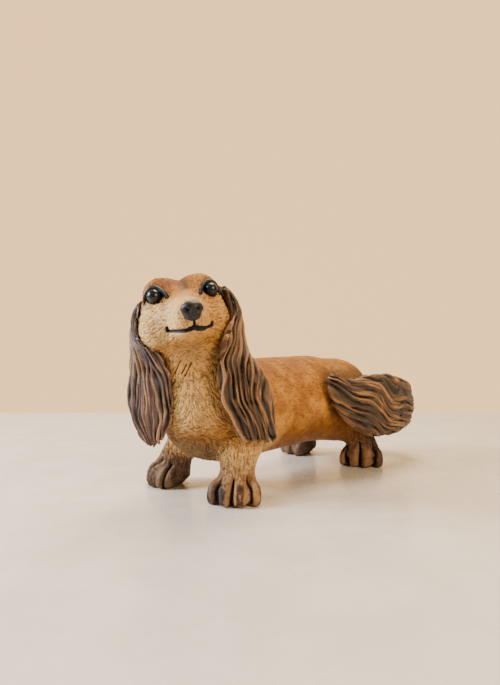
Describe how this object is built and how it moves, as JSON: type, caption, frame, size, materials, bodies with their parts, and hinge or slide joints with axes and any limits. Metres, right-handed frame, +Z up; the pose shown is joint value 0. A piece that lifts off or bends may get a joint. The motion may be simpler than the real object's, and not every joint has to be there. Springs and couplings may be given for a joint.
{
  "type": "dog figurine",
  "caption": "Free-standing ceramic figurine of a long-haired dachshund looking to its left, with long wavy ears and a plumed tail laid along its flank.",
  "frame": {"origin": "on the table, at the middle of the figurine's bounding box", "axes": "+Z up; the dog looks along -Y, with its head turned towards +X, its left"},
  "size_m": [0.1184, 0.2716, 0.1509],
  "materials": {
    "glazed_tan": "stoneware washed with iron oxides, semi-matte, fine carved fur",
    "dark_fur": "stoneware with dark umber in the grooves and dry-brushed tan ridges, satin",
    "black_glaze": "black satin glaze",
    "gloss_black": "black high-gloss glaze"
  },
  "bodies": {
    "root": {"trunk": "glazed_tan", "head": "glazed_tan", "leg_front_left": "glazed_tan", "leg_front_right": "glazed_tan", "leg_rear_left": "glazed_tan", "leg_rear_right": "glazed_tan", "ear_left": "dark_fur", "ear_right": "dark_fur", "tail_plume": "dark_fur", "nose": "black_glaze", "eye_left": "gloss_black", "eye_right": "gloss_black", "eyelid_left": "black_glaze", "eyelid_right": "black_glaze"}
  },
  "joints": []
}
